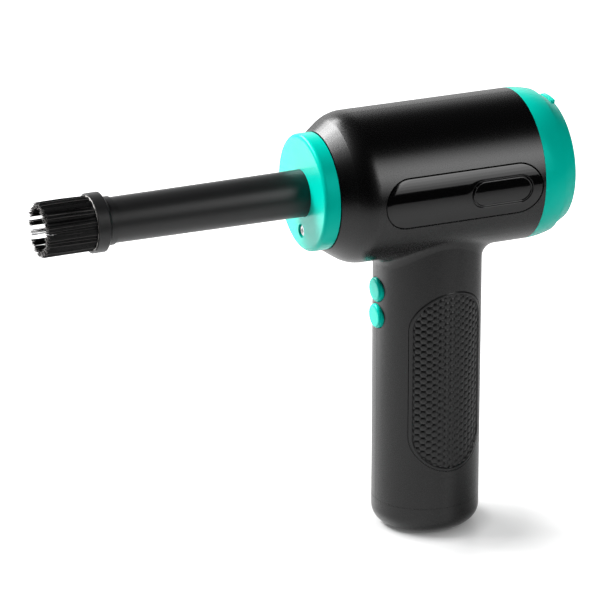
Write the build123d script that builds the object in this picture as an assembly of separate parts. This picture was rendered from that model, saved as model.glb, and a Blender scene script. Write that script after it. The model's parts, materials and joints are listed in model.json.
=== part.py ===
from build123d import *
import os
from math import cos, pi, radians, sin, sqrt, tan

# The frame: the origin is the centre of the handle's flat base, Z is up, the barrel lies
# along X with the nozzle at -X, and the left side is at -Y. All sizes are millimetres.

# Fits and walls
wall = 2.2
seam_gap = 0.1
gap = 0.3
slip = 0.1
running = 0.05
press = 0.02
overcut = 1.0

# Barrel
barrel_radius = 33.0
barrel_rear = 40.3
barrel_front = -52.1
shoulder_radius = 16.0
shoulder_angle = radians(35)
junction_radius = 6.0

# Handle and its end cap
handle_oval = 3.0
cap_height = 13.1
cap_corner = 8.0
cap_tongue = 2.4
cap_floor = 2.4

# Front ring, its screw and the nozzle
ring_radius = 25.4
ring_step = 0.4
ring_depth = 7.2
ring_edge = 1.8
spigot_wall = 2.3
spigot_length = 12.4
nozzle_tip_radius = 9.74
nozzle_taper = 0.43
nozzle_tip_wall = 1.54
nozzle_reach = 94.3
seal_thickness = 1.2
seal_depth = 5.2
ring_screw_out = 4.5
ring_screw_recess = 3.0
ring_screw_recess_depth = 2.5
ring_screw_length = 13.0

# Brush attachment
brush_overlap = 6.9
brush_reach = 2.6
brush_neck_length = 2.6
brush_neck_wall = 0.5
brush_step = 2.4
brush_chamfer = 1.8
brush_bore_step = 0.4
backing_depth = 1.6
backing_inner_wall = 0.5
backing_outer_wall = 1.0
bristle_length = 23.1
bristle_uneven = 0.6
bristle_thickness = 0.30
tuft_gap = 0.6
tuft_splay = 1.12
tuft_count = 16
strands_per_tuft = 24
golden_angle = 137.508

# Rear ring, cover and filter
rear_ring_length = 10.3
rear_turn = 36.0
rear_spigot_length = 3.6
rear_spigot_wall = 2.0
cover_length = 6.8
cover_step = 1.2
cover_draw = 2.7
cover_bulge = 0.25
cover_edge = 0.9
nub_length = 2.0
nub_rise = 1.1
nub_angle = 91.5
nub_width = 20.0
nub_count = 2
cover_spigot_inset = 2.05
cover_spigot_wall = 1.8
cover_spigot_length = 6.5
grille_thickness = 2.3
grille_sink = 0.7
grille_hub = 7.5
grille_slot = 4.2
grille_web = 1.4
grille_bars = 12
grille_bar_width = 1.5
lip_thickness = 2.6
lug_height = 1.6
lug_width = 2.8
lug_angle = 22.0
lug_count = 3
cover_twist = 30.0
lug_clear_angle = 3.0
filter_thickness = 5.2
retainer_thickness = 1.6
retainer_rim = 2.4

# Fan and its duct
mount_thickness = 3.0
mount_width = 5.0
front_mount_offset = 5.1
duct_wall = 1.8
duct_to_barrel_end = 3.5
inlet_thickness = 1.8
inlet_eye = 13.0
impeller_clearance = 4.8
impeller_height = 13.0
impeller_plate = 1.6
impeller_hub = 5.0
blade_count = 9
blade_thickness = 1.0
blade_curve = 14.0
blade_outer_height = 8.0
diffuser_length = 14.0
diffuser_plate = 1.6
vane_count = 11
vane_thickness = 1.2
vane_angle = 20.0
hub_wall = 1.5
rib_thickness = 1.6
rib_height = 1.6
nut_flats = 5.5
nut_thickness = 2.2

# Motor
motor_radius = 14.3
motor_length = 31.6
motor_wall = 1.1
motor_end = 1.5
shaft_radius = 1.6
bearing_radius = 4.0
bearing_width = 3.0
bearing_boss_wall = 1.2
magnet_radius = 6.4
magnet_length = 18.0
air_gap = 0.5
core_length = 16.0
core_ring = 1.9
tooth_count = 6
tooth_width = 3.2
coil_thickness = 1.6
motor_screw_circle = 8.0
motor_screw_radius = 1.0
motor_screw_length = 3.0
motor_screw_head = 1.9
motor_screw_head_height = 1.2

# Air funnel
funnel_wall = 1.6
funnel_neck = 3.4
funnel_mouth = 14.0
funnel_boss = 3.2
funnel_boss_length = 7.4

# Cells and their holders
cell_radius = 9.2
cell_length = 65.0
cell_gap = 0.3
cell_edge = 0.4
holder_plate = 1.6
holder_rim = 2.4
strap_thickness = 0.2
strap_width = 7.0
ledge_width = 1.6
ledge_thickness = 1.3
battery_clearance = 1.5

# Control board and what stands on it
board_thickness = 1.6
board_width = 25.0
board_height = 28.0
board_clearance = 3.6
rail_depth = 1.0
rail_width = 1.8
switch_size = 6.0
switch_height = 3.4
plunger_radius = 1.5
plunger_length = 2.2
plunger_reach = 1.4
capacitor_radius = 3.0
capacitor_length = 8.0
capacitor_y = -8.0
capacitor_rise = 21.0
transistor_width = 4.8
transistor_tall = 6.0
transistor_depth = 2.2
transistor_spacing = 6.0
transistor_rise = 10.0
controller_y = 5.5
controller_width = 7.0
controller_tall = 4.5
controller_depth = 1.2
controller_rise = 17.5

# Buttons
button_rise_upper = 15.6
button_rise_lower = 3.5
button_width = 11.5
button_tall = 10.8
button_gap = 0.25
button_proud = 1.5
button_edge = 1.4
button_travel = 0.8
button_flange = 1.0
button_flange_width = 15.0
button_stem = 1.6

# Charging
charge_board_width = 12.0
charge_board_length = 25.0
shelf_thickness = 1.4
usb_width = 9.0
usb_tall = 3.2
usb_depth = 7.4
usb_inset = 0.6
usb_shell = 0.4

# Panels, badges and grips
panel_length = 73.4
panel_half_arc = 11.3
panel_centre = 2.2
panel_thickness = 1.2
panel_groove = 0.4
badge_length = 27.8
badge_half_arc = 5.7
badge_centre = 19.8
badge_thickness = 0.9
badge_sink = 0.5
badge_groove = 0.35
badge_rim = 0.7
badge_dish = 0.35
grip_rise = 17.2
grip_length = 82.9
grip_half_width = 17.8
grip_end = 17.0
grip_angle = 6.0
grip_groove = 0.2
grip_thickness = 1.2
grip_rim = 1.3
grip_dish = 0.4

# Housing screws
handle_screw_x = 10.0
handle_screw_rises = (8.5, 24.5)
cap_screw_x = -14.0
shoulder_screw_back = 14.1
shoulder_screw_radius = 20.0
boss_radius = 3.8
boss_gap = 0.5
screw_seat = 6.0
screw_shank = 1.25
screw_head = 2.5
screw_head_height = 1.8
screw_length = 14.0
screw_slot = 0.6
screw_slot_depth = 0.9

# Leads
lead_radius = 0.8
thin_lead_radius = 0.6
channel_depth = 2.6
channel_angle = 60.0
channel_spread = 3.0
lead_lift = 3.0
lead_stand = 6.0
lead_board_rise = 4.0
lead_clearance = 1.0
positive_lead_y = -1.5
negative_lead_y = -9.0
charge_lead_y = 9.5
charge_lead_spacing = 2.5
charge_pad_inset = 1.5
motor_lead_stand = 4.2
motor_lead_spacing = 3.0
motor_lead_drop = 3.5
motor_lead_turn = 4.0
motor_lead_spot = 10.0

# The handle's stack, from its base up to the barrel's axis
charge_board_height = cap_height + cap_tongue + shelf_thickness + gap
charge_board_top = charge_board_height + board_thickness
battery_floor = charge_board_top + usb_tall + battery_clearance + ledge_thickness + slip
cell_bottom = battery_floor + holder_plate + strap_thickness
cell_top = cell_bottom + cell_length
holder_top_low = cell_top + strap_thickness
holder_top_high = holder_top_low + holder_plate
board_bottom = holder_top_high + ledge_thickness + 2 * gap
axis_height = board_bottom + board_height + board_clearance + barrel_radius
housing_bottom = cap_height + slip
grip_height = cap_height + grip_rise + grip_length / 2
button_heights = (board_bottom + button_rise_upper, board_bottom + button_rise_lower)

# The handle's section, which is drawn round the cells
cell_circle = (2 * cell_radius + cell_gap) / sqrt(3)
holder_radius = cell_circle + cell_radius
handle_in_b = holder_radius + gap
handle_in_a = handle_in_b + handle_oval / 2
handle_a = handle_in_a + wall
handle_b = handle_in_b + wall
channel_radius = holder_radius - channel_depth

# The buttons, switches and board, from the wall inwards
flange_front = gap - handle_in_a * sqrt(1 - (button_flange_width / 2 / handle_in_b) ** 2)
flange_rear = flange_front + button_flange
plunger_tip = flange_rear + button_stem
switch_front = plunger_tip + plunger_reach
board_front = switch_front + switch_height
board_rear = board_front + board_thickness
button_face = -handle_a - button_proud
motor_lead_x = board_rear + motor_lead_stand

# The charging board and its socket
charge_board_rear = handle_in_a * sqrt(1 - (charge_board_width / 2 / handle_in_b) ** 2) - gap
charge_board_front = charge_board_rear - charge_board_length
usb_rear = handle_a - usb_inset
usb_middle = charge_board_top + usb_tall / 2

# The nozzle's end of the barrel
bore_radius = barrel_radius - wall
shoulder_end = ring_radius + ring_step
cone_drop = barrel_radius - shoulder_end - shoulder_radius * (1 - cos(shoulder_angle))
shoulder_x = barrel_front + cone_drop / tan(shoulder_angle) + shoulder_radius * sin(shoulder_angle)
ring_rear = barrel_front - ring_step
ring_face = ring_rear - ring_depth
nozzle_radius = nozzle_tip_radius + nozzle_taper
nozzle_bore = nozzle_tip_radius - nozzle_tip_wall
nozzle_tip = ring_face - nozzle_reach
ring_bore = nozzle_radius + slip
spigot_radius = ring_bore + spigot_wall
spigot_end = ring_rear + spigot_length
nozzle_rear = spigot_end
ring_screw_height = axis_height - spigot_radius - ring_screw_out
funnel_front = barrel_front + wall + gap
funnel_step = spigot_end + gap
funnel_neck_end = funnel_step + funnel_neck
funnel_rear = funnel_neck_end + funnel_mouth + rib_thickness

# The brush
brush_rear = nozzle_tip + brush_overlap
brush_front = nozzle_tip - brush_reach
brush_socket = nozzle_tip_radius + slip + running
brush_neck_radius = brush_socket + brush_neck_wall
brush_radius = brush_neck_radius + brush_step
brush_bore = nozzle_bore + brush_bore_step
backing_inner = brush_bore + backing_inner_wall
backing_outer = brush_radius - backing_outer_wall
bristle_circle = (backing_inner + backing_outer) / 2
tuft_half_depth = (backing_outer - backing_inner - bristle_thickness) / 2
tuft_half_width = (2 * pi * bristle_circle / tuft_count - tuft_gap - bristle_thickness) / 2

# The duct, fan and motor
mount_outer = bore_radius - slip
duct_radius = mount_outer - mount_thickness - slip
duct_inner = duct_radius - duct_wall
duct_rear = barrel_rear - duct_to_barrel_end
rear_rib_x = barrel_rear + slip - rear_spigot_length - gap - rib_thickness
rear_mount_x = rear_rib_x - gap - mount_width
front_mount_x = funnel_rear + front_mount_offset
inlet_rear = duct_rear + inlet_thickness
impeller_radius = duct_inner - impeller_clearance
impeller_rear = duct_rear - gap
impeller_front = impeller_rear - impeller_height
blade_tip_x = impeller_front + impeller_plate + blade_outer_height
diffuser_rear = impeller_front - 2 * gap - motor_screw_head_height
motor_rear = diffuser_rear - diffuser_plate
motor_front = motor_rear - motor_length
motor_middle = motor_rear - motor_length / 2

# The rear ring and cover
rear_ring_front = barrel_rear + slip
rear_ring_end = rear_ring_front + rear_ring_length
cover_front = rear_ring_end + slip
cover_rear = cover_front + cover_length
rear_turn_centre = barrel_radius - rear_turn
rear_ring_end_radius = rear_turn_centre + sqrt(rear_turn ** 2 - rear_ring_length ** 2)
cover_front_radius = rear_ring_end_radius - cover_step
cover_corner = cover_rear - cover_edge
cover_radius = cover_front_radius - cover_draw
cover_rim_radius = cover_radius - cover_edge
cover_spigot_radius = cover_radius - cover_spigot_inset
cover_spigot_bore = cover_spigot_radius - cover_spigot_wall
cover_spigot_front = cover_front - cover_spigot_length
grille_rear = cover_rear - grille_sink
grille_front = grille_rear - grille_thickness
grille_ring_count = int((cover_spigot_bore - grille_hub + grille_web) / (grille_slot + grille_web))
filter_front = grille_front - slip - filter_thickness
retainer_front = filter_front - slip - retainer_thickness
lip_radius = cover_spigot_radius + gap
lug_radius = lip_radius + lug_height - gap
lip_front = rear_ring_end - lip_thickness
lug_front = lip_front - gap - lug_width
groove_radius = lug_radius + gap

# The places of the housing's screws, as (x, height above the base)
shoulder_screw_x = barrel_front + shoulder_screw_back
screw_places = [
    (handle_screw_x, holder_top_high + handle_screw_rises[0]),
    (handle_screw_x, holder_top_high + handle_screw_rises[1]),
    (cap_screw_x, cap_height + cap_tongue + boss_gap + boss_radius),
    (shoulder_screw_x, axis_height + shoulder_screw_radius),
    (shoulder_screw_x, axis_height - shoulder_screw_radius),
]


def turned(outline):
    """Turns an (x, radius) outline about the barrel axis."""
    return Pos(0, 0, axis_height) * revolve(Plane.XZ * make_face(outline), Axis.X)


def turned_corners(*corners):
    """Turns straight-edged corners, given as (x, radius), about the barrel axis."""
    return turned(Polyline(*corners, close=True))


def across(x):
    """The plane square to the barrel axis at x, whose own X and Y are the frame's Y and Z."""
    return Plane(origin=(x, 0, axis_height), x_dir=(0, 1, 0), z_dir=(1, 0, 0))


def tube(x_low, x_high, outer, inner=0.0):
    """A tube about the barrel axis, or a disc if it has no bore."""
    section = Circle(outer) - Circle(inner) if inner else Circle(outer)
    return extrude(across(x_low) * section, x_high - x_low)


def box_between(low, high):
    """A block between two corners."""
    size = [high[i] - low[i] for i in range(3)]
    middle = [(high[i] + low[i]) / 2 for i in range(3)]
    return Pos(*middle) * Box(*size)


def upright_ellipse(inset, low, high):
    """A column with the handle's section, drawn in by an inset."""
    return Pos(0, 0, low) * extrude(Ellipse(handle_a - inset, handle_b - inset), high - low)


def upright_cylinder(x, y, low, high, radius):
    """A vertical cylinder."""
    return Pos(x, y, low) * extrude(Circle(radius), high - low)


def cylinder_y(x, z, low, high, radius):
    """A cylinder along Y between two places on that axis."""
    plane = Plane(origin=(x, low, z), x_dir=(1, 0, 0), z_dir=(0, 1, 0))
    return extrude(plane * Circle(radius), high - low)


def cylinder_x(y, z, low, high, radius):
    """A cylinder along X between two places on that axis."""
    plane = Plane(origin=(low, y, z), x_dir=(0, 1, 0), z_dir=(1, 0, 0))
    return extrude(plane * Circle(radius), high - low)


def barrel_solid(inset):
    """The barrel's solid of revolution, drawn in by a wall and left long at its open rear."""
    turn = shoulder_radius - inset
    centre_r = barrel_radius - shoulder_radius
    half = shoulder_angle / 2
    bend = (shoulder_x - turn * sin(shoulder_angle), centre_r + turn * cos(shoulder_angle))
    middle = (shoulder_x - turn * sin(half), centre_r + turn * cos(half))
    front_x = barrel_front + inset
    front_r = bend[1] - (bend[0] - front_x) * tan(shoulder_angle)
    rear_x = barrel_rear + inset
    top_r = barrel_radius - inset
    outline = (
        Line((front_x, 0), (front_x, front_r))
        + Line((front_x, front_r), bend)
        + ThreePointArc(bend, middle, (shoulder_x, top_r))
        + Line((shoulder_x, top_r), (rear_x, top_r))
        + Line((rear_x, top_r), (rear_x, 0))
        + Line((rear_x, 0), (front_x, 0))
    )
    return turned(outline)


def side_plane(side, x, z, turn=0.0):
    """A plane that looks out of the left (side -1) or right (side 1), turned towards the rear."""
    out = (sin(radians(turn)), side * cos(radians(turn)), 0)
    along = (cos(radians(turn)), -side * sin(radians(turn)), 0)
    return Plane(origin=(x, 0, z), x_dir=along, z_dir=out)


def stadium(length, height, grow=0.0):
    """A stadium outline, grown all round."""
    return SlotOverall(length + 2 * grow, height + 2 * grow)


def panel_prism(side, length, half_arc, centre, grow=0.0):
    """The prism that cuts a stadium out of the barrel's side."""
    height = 2 * barrel_radius * sin(half_arc / barrel_radius)
    return extrude(side_plane(side, centre, axis_height) * stadium(length, height, grow), 2 * barrel_radius)


def grip_outline(inset):
    """The grip's outline: straight sides with half-ellipse ends."""
    half_width = grip_half_width - inset
    end = grip_end - inset
    straight = grip_length / 2 - grip_end
    sides = Rectangle(2 * half_width, 2 * straight)
    return sides + Pos(0, straight) * Ellipse(half_width, end) + Pos(0, -straight) * Ellipse(half_width, end)


def grip_prism(side, inset=0.0):
    """The prism that cuts the grip's outline out of the handle's side."""
    return extrude(side_plane(side, 0, grip_height, grip_angle) * grip_outline(inset), 2 * handle_a)


def shell_between(outer_inset, inner_inset, low, high):
    """A layer of the handle's wall between two insets."""
    return upright_ellipse(outer_inset, low, high) - upright_ellipse(inner_inset, low, high)


def button_hole(height, grow=0.0):
    """The oval column of a button along X, through the handle's front."""
    plane = Plane(origin=(0, 0, height), x_dir=(0, 1, 0), z_dir=(-1, 0, 0))
    return extrude(plane * Ellipse(button_width / 2 + grow, button_tall / 2 + grow), 2 * handle_a)


def usb_block(grow, x_low, x_high):
    """The rounded block of the charging socket."""
    plane = Plane(origin=(x_low, 0, usb_middle), x_dir=(0, 1, 0), z_dir=(1, 0, 0))
    section = SlotOverall(usb_width + 2 * grow, usb_tall + 2 * grow)
    return extrude(plane * section, x_high - x_low)


def housing_shell():
    """Both halves of the housing in one, before the seam parts them."""
    outer = barrel_solid(0) + upright_ellipse(0, housing_bottom, axis_height)
    low = axis_height - barrel_radius - slip
    seam_edges = [
        e for e in outer.edges()
        if e.bounding_box().min.Z > low and abs(e.center().X) < handle_a and e.center().Z < axis_height
        and e.bounding_box().size.X > handle_a / 2 and e.bounding_box().size.X < 2 * handle_a + slip
        and e.bounding_box().size.Z > slip
    ]
    outer = fillet(seam_edges, junction_radius)
    hollow = barrel_solid(wall) + upright_ellipse(wall, housing_bottom - slip, axis_height)
    shell = outer - hollow
    for x, z in screw_places:
        shell += cylinder_y(x, z, -barrel_radius, barrel_radius, boss_radius) & outer
    shell += housing_ribs()
    for x, z in screw_places:
        shell -= cylinder_y(x, z, screw_seat, barrel_radius, screw_head + gap)
        shell -= cylinder_y(x, z, 0, screw_seat, screw_shank + slip)
        shell -= cylinder_y(x, z, -screw_length, 0, screw_shank + running)
    front_low, front_high = barrel_front - overcut, barrel_front + wall + overcut
    shell -= tube(front_low, front_high, spigot_radius + slip)
    shell -= cylinder_x(0, ring_screw_height, front_low, front_high, screw_shank + gap)
    for height in button_heights:
        shell -= button_hole(height, button_gap)
    shell -= usb_block(usb_shell, usb_rear - usb_depth, handle_a + overcut)
    for side in (-1, 1):
        floor = barrel_radius - panel_thickness - slip
        pocket = tube(barrel_front, barrel_rear, barrel_radius + overcut, floor)
        shell -= panel_prism(side, panel_length, panel_half_arc, panel_centre, panel_groove) & pocket
        low, high = grip_height - grip_length, grip_height + grip_length
        pocket = shell_between(-overcut, grip_thickness + slip, low, high)
        shell -= grip_prism(side, -grip_groove) & pocket
    return shell


def flange_room(height):
    """The room inside the wall that a button's flange moves in."""
    half_y = button_flange_width / 2 + gap
    half_z = button_tall / 2
    rear = flange_rear + button_travel + gap
    return box_between((flange_front - gap, -half_y, height - half_z), (rear, half_y, height + half_z))


def ring_rib(x_low):
    """A rib round the barrel's bore."""
    return tube(x_low, x_low + rib_thickness, bore_radius + slip, bore_radius - rib_height)


def housing_ribs():
    """The ribs, ledges and rails inside the housing that seat the pieces it holds."""
    ribs = ring_rib(rear_rib_x)
    ribs += ring_rib(rear_mount_x - gap - rib_thickness)
    ribs += ring_rib(front_mount_x - gap - rib_thickness)
    ribs += ring_rib(front_mount_x + mount_width + gap)
    inner = upright_ellipse(wall - slip, housing_bottom, axis_height - barrel_radius + wall)
    for low in (battery_floor - ledge_thickness - slip, holder_top_high + slip):
        ribs += shell_between(wall - slip, wall + ledge_width, low, low + ledge_thickness)
    for height in button_heights:
        ribs -= flange_room(height)
    for side in (-1, 1):
        near, far = charge_board_width / 2 - rail_width, handle_b
        low_y, high_y = (near, far) if side > 0 else (-far, -near)
        shelf_top = charge_board_height - slip
        shelf_rear = charge_board_front + charge_board_length - 2 * rail_width
        shelf = box_between(
            (charge_board_front + rail_width, low_y, shelf_top - shelf_thickness),
            (shelf_rear, high_y, shelf_top),
        )
        ribs += shelf & inner
        near = board_width / 2 - rail_depth
        low_y, high_y = (near, far) if side > 0 else (-far, -near)
        rail = box_between(
            (board_front - slip - rail_width, low_y, board_bottom),
            (board_rear + slip + rail_width, high_y, board_bottom + board_height - 2 * gap),
        )
        slot = box_between(
            (board_front - slip, -board_width / 2 - slip, board_bottom - gap),
            (board_rear + slip, board_width / 2 + slip, board_bottom + board_height),
        )
        ribs += (rail & inner) - slot
    return ribs


def housing_half(shell, side):
    """One half of the housing: left is side -1, right is side 1."""
    reach = 2 * axis_height
    low_y, high_y = (seam_gap / 2, reach) if side > 0 else (-reach, -seam_gap / 2)
    return shell & box_between((-reach, low_y, -reach), (reach, high_y, reach))


def pan_screw(length):
    """A cross-slotted pan head screw, head up from the origin and shank down -Z."""
    head = extrude(Circle(screw_head), screw_head_height)
    head = fillet(head.edges().group_by(Axis.Z)[-1], screw_head_height / 3)
    slot = Box(screw_head, screw_slot, screw_slot_depth) + Box(screw_slot, screw_head, screw_slot_depth)
    head -= Pos(0, 0, screw_head_height - screw_slot_depth / 2) * slot
    shank = Pos(0, 0, -length) * extrude(Circle(screw_shank), length)
    return head + shank


def housing_screws():
    """The screws that close the housing, driven in from the right."""
    screw = Rot(-90, 0, 0) * pan_screw(screw_length)
    return [Pos(x, screw_seat + running, z) * screw for x, z in screw_places]


def bottom_cap():
    """The handle's end cap with its rounded base, hollow and tongue."""
    body = upright_ellipse(0, 0, cap_height)
    body = fillet(body.edges().group_by(Axis.Z)[0], cap_corner)
    hollow_top = cap_height + cap_tongue + overcut
    straight = upright_ellipse(wall, cap_floor, hollow_top)
    inner = fillet(straight.edges().group_by(Axis.Z)[0], cap_corner - wall)
    body -= inner
    root = shell_between(wall / 2, 2 * wall, cap_height - 2 * wall, cap_height - slip)
    tongue = shell_between(wall + slip, 2 * wall, cap_height - wall, cap_height + cap_tongue)
    return body + root + tongue


def front_ring():
    """The front ring with its spigot, nozzle bore and screw recess."""
    face_r = ring_radius - ring_edge
    corner = (ring_face + ring_edge, ring_radius)
    middle = (ring_face + ring_edge * (1 - sin(radians(45))), face_r + ring_edge * cos(radians(45)))
    outline = (
        Line((ring_face, ring_bore), (ring_face, face_r))
        + ThreePointArc((ring_face, face_r), middle, corner)
        + Line(corner, (ring_rear, ring_radius))
        + Line((ring_rear, ring_radius), (ring_rear, spigot_radius))
        + Line((ring_rear, spigot_radius), (spigot_end, spigot_radius))
        + Line((spigot_end, spigot_radius), (spigot_end, ring_bore))
        + Line((spigot_end, ring_bore), (ring_face, ring_bore))
    )
    seat = ring_face + ring_screw_recess_depth
    ring = turned(outline)
    ring -= cylinder_x(0, ring_screw_height, ring_face - overcut, seat, ring_screw_recess)
    return ring - cylinder_x(0, ring_screw_height, seat - overcut, ring_rear + overcut, screw_shank + slip)


def front_ring_screw():
    """The screw that holds the front ring, seated in its recess."""
    seat = ring_face + ring_screw_recess_depth - running
    return Pos(seat, 0, ring_screw_height) * Rot(0, -90, 0) * pan_screw(ring_screw_length)


def nozzle_tube():
    """The tapered nozzle tube with the groove of its seal."""
    groove_rear = nozzle_rear - seal_depth
    groove_front = groove_rear - seal_thickness - 2 * slip
    groove_r = nozzle_radius - seal_thickness + running
    return turned_corners(
        (nozzle_rear, nozzle_bore),
        (nozzle_rear, nozzle_radius),
        (groove_rear, nozzle_radius),
        (groove_rear, groove_r),
        (groove_front, groove_r),
        (groove_front, nozzle_radius),
        (ring_face, nozzle_radius),
        (nozzle_tip, nozzle_tip_radius),
        (nozzle_tip, nozzle_bore),
    )


def nozzle_seal():
    """The round seal in the nozzle's groove."""
    middle = nozzle_rear - seal_depth - slip - seal_thickness / 2
    section = Pos(middle, nozzle_radius - seal_thickness / 2 + running) * Circle(seal_thickness / 2)
    return Pos(0, 0, axis_height) * revolve(Plane.XZ * section, Axis.X)


def brush_collar():
    """The brush's collar, which slides over the nozzle's tip."""
    neck_end = brush_rear - brush_neck_length
    stop = nozzle_tip - gap
    groove = brush_front + backing_depth + slip
    return turned_corners(
        (brush_rear, brush_socket),
        (brush_rear, brush_neck_radius),
        (neck_end, brush_neck_radius),
        (neck_end - brush_chamfer, brush_radius),
        (brush_front, brush_radius),
        (brush_front, backing_outer + slip),
        (groove, backing_outer + slip),
        (groove, backing_inner - slip),
        (brush_front, backing_inner - slip),
        (brush_front, brush_bore),
        (stop, brush_bore),
        (stop, brush_socket),
    )


def brush_bristles():
    """The tufts of the brush, fused to the ring that backs them."""
    backing = tube(brush_front, brush_front + backing_depth, backing_outer, backing_inner)
    root = brush_front + backing_depth / 2
    section = Rectangle(bristle_thickness, bristle_thickness)
    strands = []
    for tuft in range(tuft_count):
        turn = 360 * tuft / tuft_count
        for i in range(strands_per_tuft):
            spread = sqrt((i + 0.5) / strands_per_tuft)
            around = radians(i * golden_angle)
            outward = tuft_half_depth * spread * cos(around)
            sideways = tuft_half_width * spread * sin(around)
            low = (bristle_circle + outward, sideways)
            high = (bristle_circle + tuft_splay * outward, tuft_splay * sideways)
            reach = brush_front - bristle_length + bristle_uneven * (1 + sin(i * i + tuft))
            foot = across(root) * Rot(0, 0, turn) * Pos(*low) * section
            tip = across(reach) * Rot(0, 0, turn) * Pos(*high) * section
            strands.append(loft([foot.face(), tip.face()]))
    return backing.fuse(*strands)


def sector(x_low, x_high, inner, outer, angle, width):
    """A block of a ring about the barrel axis, centred on an angle from +Y towards +Z."""
    reach = 2 * outer
    half = radians(width / 2)
    wedge = make_face(Polyline((0, 0), (reach, -reach * tan(half)), (reach, reach * tan(half)), close=True))
    section = (Circle(outer) - Circle(inner)) & wedge
    return extrude(across(x_low) * Rot(0, 0, angle) * section, x_high - x_low)


def rear_ring():
    """The ring that closes the barrel's rear, with the entry slots of the cover's lugs."""
    spigot_r = bore_radius - slip
    spigot_front = rear_ring_front - rear_spigot_length
    spigot_in = spigot_r - rear_spigot_wall
    outline = Polyline(
        (rear_ring_front, barrel_radius), (rear_ring_front, spigot_r), (spigot_front, spigot_r),
        (spigot_front, spigot_in), (rear_ring_front, spigot_in), (rear_ring_front, groove_radius),
        (lip_front, groove_radius), (lip_front, lip_radius), (rear_ring_end, lip_radius),
        (rear_ring_end, rear_ring_end_radius),
    )
    half = rear_ring_length / 2
    middle = (rear_ring_front + half, rear_turn_centre + sqrt(rear_turn ** 2 - half ** 2))
    bend = ThreePointArc((rear_ring_front, barrel_radius), middle, (rear_ring_end, rear_ring_end_radius))
    ring = turned(outline + bend)
    slot_angle = lug_angle + lug_clear_angle
    slot_front, slot_rear, slot_inner = lip_front - slip, rear_ring_end + slip, lip_radius - slip
    for i in range(lug_count):
        angle = 360 * i / lug_count + 90 + cover_twist
        ring -= sector(slot_front, slot_rear, slot_inner, groove_radius, angle, slot_angle)
    return ring


def rear_cover():
    """The twist-off cover: finger nubs, intake grille, spigot and bayonet lugs."""
    front = (cover_front, cover_front_radius)
    corner = (cover_corner, cover_radius)
    bow = ((cover_front + cover_corner) / 2, (cover_front_radius + cover_radius) / 2 + cover_bulge)
    turn = radians(45)
    middle = (cover_rear - cover_edge * (1 - sin(turn)), cover_rim_radius + cover_edge * cos(turn))
    outline = Polyline(
        (cover_rear, cover_rim_radius), (cover_rear, cover_spigot_bore), (grille_rear, cover_spigot_bore),
        (grille_rear, 0), (grille_front, 0), (grille_front, cover_spigot_bore),
        (cover_spigot_front, cover_spigot_bore), (cover_spigot_front, cover_spigot_radius),
        (cover_front, cover_spigot_radius), front,
    )
    side = ThreePointArc(front, bow, corner) + ThreePointArc(corner, middle, (cover_rear, cover_rim_radius))
    cover = turned(outline + side)
    nub_front = cover_rear - nub_length
    nub_radius = cover_radius + nub_rise
    for i in range(nub_count):
        angle = nub_angle + 360 * i / nub_count
        cover += sector(nub_front, cover_rear, cover_spigot_radius, nub_radius, angle, nub_width)
    slots = Sketch()
    for i in range(grille_ring_count):
        inner = grille_hub + i * (grille_slot + grille_web)
        slots += Circle(inner + grille_slot) - Circle(inner)
    for i in range(grille_bars // 2):
        slots -= Rot(0, 0, 360 * i / grille_bars) * Rectangle(2 * cover_radius, grille_bar_width)
    cover -= extrude(across(grille_front - slip) * slots, grille_thickness + 2 * slip)
    for i in range(lug_count):
        angle = 360 * i / lug_count + 90
        root = cover_spigot_bore + slip
        cover += sector(lug_front, lug_front + lug_width, root, lug_radius, angle, lug_angle)
    return cover


def filter_foam():
    """The filter disc behind the grille."""
    return tube(filter_front, filter_front + filter_thickness, cover_spigot_bore - gap)


def filter_retainer():
    """The spoked ring that holds the filter in the cover."""
    outer = cover_spigot_bore - slip
    spoked = Circle(outer) - Circle(outer - retainer_rim)
    reach = 2 * outer - retainer_rim
    bars = Rectangle(reach, retainer_rim) + Rectangle(retainer_rim, reach)
    return extrude(across(retainer_front) * (spoked + bars), retainer_thickness)


def fan_duct():
    """The duct round the fan and motor, with a hole for the motor's leads."""
    duct = tube(funnel_rear, duct_rear, duct_radius, duct_inner)
    low = axis_height - duct_radius - overcut
    half = motor_lead_spacing + lead_radius + lead_clearance
    hole = box_between(
        (motor_lead_x - 2 * lead_radius, -half, low),
        (motor_lead_x + 2 * lead_radius, half, axis_height - duct_inner / 2),
    )
    return duct - hole


def fan_inlet():
    """The inlet plate, whose cone follows the blades."""
    return turned_corners(
        (inlet_rear, inlet_eye), (duct_rear, inlet_eye), (blade_tip_x + gap, impeller_radius + gap),
        (duct_rear, impeller_radius + 2 * gap), (duct_rear, duct_radius), (inlet_rear, duct_radius),
    )


def impeller():
    """The impeller: back plate, hub and swept-back blades, eye to the rear."""
    envelope = turned_corners(
        (impeller_front, 0), (impeller_rear, 0), (impeller_rear, inlet_eye - gap),
        (blade_tip_x, impeller_radius), (impeller_front, impeller_radius),
    )
    centre = blade_thickness - blade_curve + impeller_hub / 2
    ring = Pos(0, centre) * (Circle(blade_curve) - Circle(blade_curve - blade_thickness))
    kept = Pos(impeller_radius, 0) * Rectangle(2 * impeller_radius, 4 * impeller_radius)
    section = (ring & kept & (Circle(impeller_radius - slip) - Circle(impeller_hub - 2 * slip))).face()
    root = across(impeller_front + impeller_plate / 2)
    blade = (extrude(root * section, impeller_height) & envelope).solid()
    fan = tube(impeller_front, impeller_front + impeller_plate, impeller_radius)
    fan += tube(impeller_front, impeller_rear, impeller_hub)
    axis = Axis((0, 0, axis_height), (1, 0, 0))
    fan = fan.fuse(*[blade.rotate(axis, 360 * i / blade_count) for i in range(blade_count)])
    return fan - tube(impeller_front - overcut, impeller_rear + overcut, shaft_radius + press)


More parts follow.
